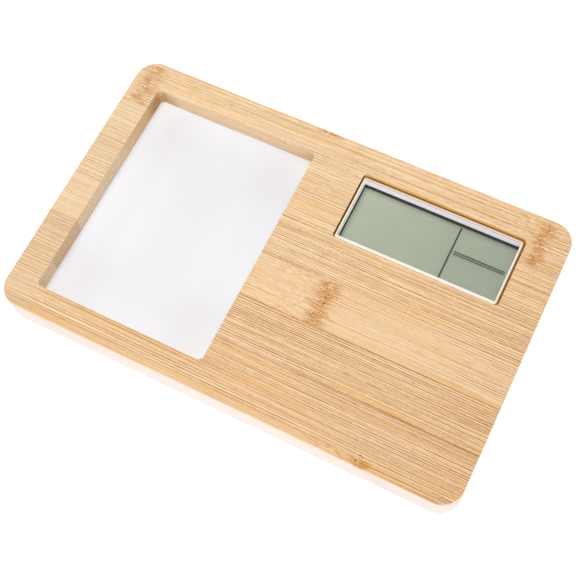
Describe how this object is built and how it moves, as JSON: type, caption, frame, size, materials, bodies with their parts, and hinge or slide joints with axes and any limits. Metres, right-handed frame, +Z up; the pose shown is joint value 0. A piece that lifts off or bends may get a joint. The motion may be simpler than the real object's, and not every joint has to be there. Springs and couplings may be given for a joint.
{
  "type": "digital alarm clock",
  "caption": "Bamboo desk board with a memo pad in a pocket and a digital alarm clock let in beside it; its buttons and battery door face the table.",
  "frame": {"origin": "on the table under the middle of the board, between the feet", "axes": "+X along the board's length towards the clock's end, +Y across it towards the back, +Z up"},
  "size_m": [0.2, 0.1254, 0.0165],
  "materials": {
    "bamboo": "planed bamboo strips under a thin satin lacquer",
    "paper": "plain uncoated white sheets",
    "grey_card": "grey board",
    "white_abs": "smooth moulded, low sheen",
    "display_film": "polarizing film over the grey-green display",
    "glass": "thin clear display glass",
    "reflector_film": "satin grey-green reflector film",
    "black_rubber": "dull black",
    "circuit_green": "solder mask over glass epoxy board",
    "black_resin": "cast drop of black resin",
    "steel": "nickel plated",
    "brass": "bright rolled sheet",
    "ceramic": "fired, unglazed",
    "foam_tape": "double-sided foam tape"
  },
  "bodies": {
    "board": {"bamboo_board": "bamboo", "rubber_foot_front_left": "black_rubber", "rubber_foot_back_left": "black_rubber", "rubber_foot_front_right": "black_rubber", "rubber_foot_back_right": "black_rubber", "front_housing": "white_abs", "mounting_tape": "foam_tape", "lcd_front_polarizer": "display_film", "lcd_front_glass": "glass", "lcd_rear_glass": "glass", "lcd_reflector": "reflector_film", "elastomer_strip": "black_rubber", "circuit_board": "circuit_green", "chip_resin_cap": "black_resin", "quartz_crystal": "steel", "smoothing_capacitor": "ceramic", "switch_mode": "steel", "switch_set": "steel", "switch_up": "steel", "switch_down": "steel", "buzzer_disc": "brass", "buzzer_ceramic": "ceramic", "buzzer_spring_ceramic": "steel", "buzzer_spring_disc": "steel", "coin_cell": "steel", "contact_negative": "steel", "contact_positive": "steel", "rear_cover": "white_abs", "cover_screw_1": "steel", "cover_screw_2": "steel", "cover_screw_3": "steel", "cover_screw_4": "steel"},
    "memo_pad": {"memo_sheets": "paper", "memo_backing_card": "grey_card"},
    "mode_button": {"button_mode": "white_abs"},
    "set_button": {"button_set": "white_abs"},
    "up_button": {"button_up": "white_abs"},
    "down_button": {"button_down": "white_abs"},
    "battery_door": {"battery_door": "white_abs"}
  },
  "joints": [
    {"name": "memo_pad_lift", "type": "slide", "parent": "board", "child": "memo_pad", "axis": [0, 0, 1], "range_m": [0, 0.03]},
    {"name": "mode_button_press", "type": "slide", "parent": "board", "child": "mode_button", "axis": [0, 0, 1], "range_m": [0, 0.0004], "stiffness_N_per_m": 1000, "springref_m": -0.0005},
    {"name": "set_button_press", "type": "slide", "parent": "board", "child": "set_button", "axis": [0, 0, 1], "range_m": [0, 0.0004], "stiffness_N_per_m": 1000, "springref_m": -0.0005},
    {"name": "up_button_press", "type": "slide", "parent": "board", "child": "up_button", "axis": [0, 0, 1], "range_m": [0, 0.0004], "stiffness_N_per_m": 1000, "springref_m": -0.0005},
    {"name": "down_button_press", "type": "slide", "parent": "board", "child": "down_button", "axis": [0, 0, 1], "range_m": [0, 0.0004], "stiffness_N_per_m": 1000, "springref_m": -0.0005},
    {"name": "battery_door_turn", "type": "hinge", "parent": "board", "child": "battery_door", "pos_m": [0.068, 0.03465, 0.0018], "axis": [0, 0, 1], "range_deg": [0, 45]}
  ]
}
